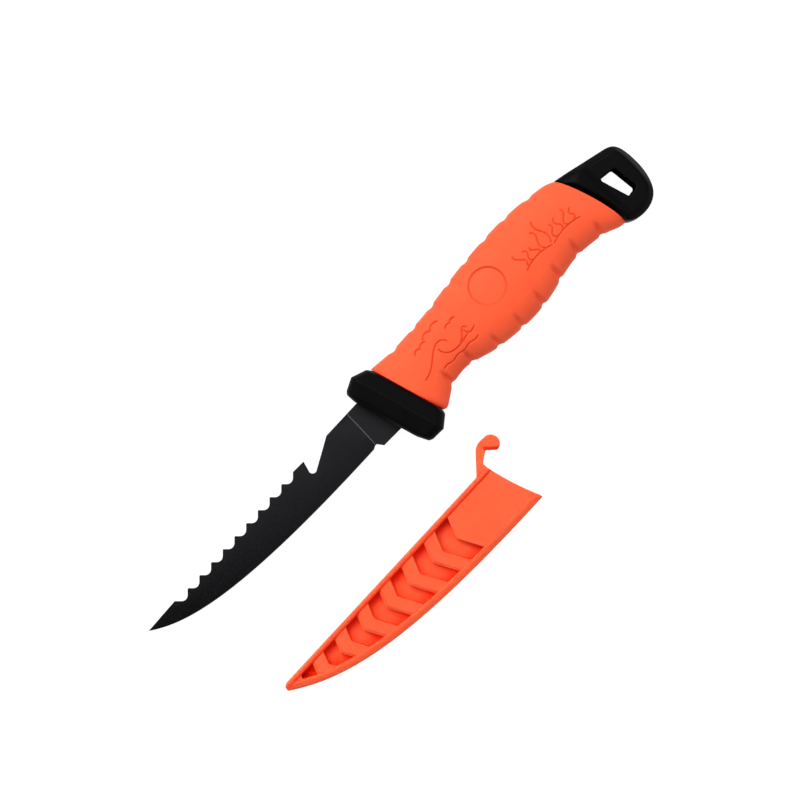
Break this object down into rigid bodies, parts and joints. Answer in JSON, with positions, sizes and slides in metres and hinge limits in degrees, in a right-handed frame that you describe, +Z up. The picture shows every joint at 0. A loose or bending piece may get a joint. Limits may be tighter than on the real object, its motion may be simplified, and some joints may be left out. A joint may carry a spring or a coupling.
{
  "type": "fishing knife with sheath",
  "caption": "Fixed-blade rigging and bait knife with a scalloped spine, a line-cutting hook, a fluted grip and a lanyard pommel, beside its moulded blade sheath.",
  "frame": {"origin": "on the table, below the middle of the knife and sheath as they lie side by side", "axes": "+X from the blade's tip to the pommel, +Y from the cutting edge to the spine, +Z up from the table, so the knife and sheath lie flat"},
  "size_m": [0.264, 0.0889, 0.025],
  "materials": {
    "blade_coating": "black non-stick coating over ground steel, fine satin speckle",
    "black_moulding": "black soft-touch moulding, fine spark texture",
    "core_plastic": "plain black glass-filled moulding",
    "rivet_steel": "plain steel rivets",
    "orange_grip": "soft orange overmoulding, satin",
    "orange_sheath": "orange polypropylene moulding, satin"
  },
  "bodies": {
    "knife": {"blade": "blade_coating", "guard": "black_moulding", "core_left": "core_plastic", "core_right": "core_plastic", "tang_rivets": "rivet_steel", "pommel": "black_moulding", "pommel_pin": "rivet_steel", "grip": "orange_grip"},
    "sheath": {"sheath_front_panel": "orange_sheath", "sheath_edge": "orange_sheath", "sheath_back_panel": "orange_sheath"},
    "latch": {"sheath_latch": "orange_sheath"}
  },
  "joints": [
    {"name": "sheath_slide", "type": "slide", "parent": "knife", "child": "sheath", "axis": [-0.9444, 0.3289, 0], "range_m": [0, 0.1678]},
    {"name": "latch_flex", "type": "hinge", "parent": "sheath", "child": "latch", "pos_m": [0.0036, -0.01865, 0.004], "axis": [0, 0, 1], "range_deg": [0, 22], "stiffness_Nm_per_rad": 0.05}
  ]
}
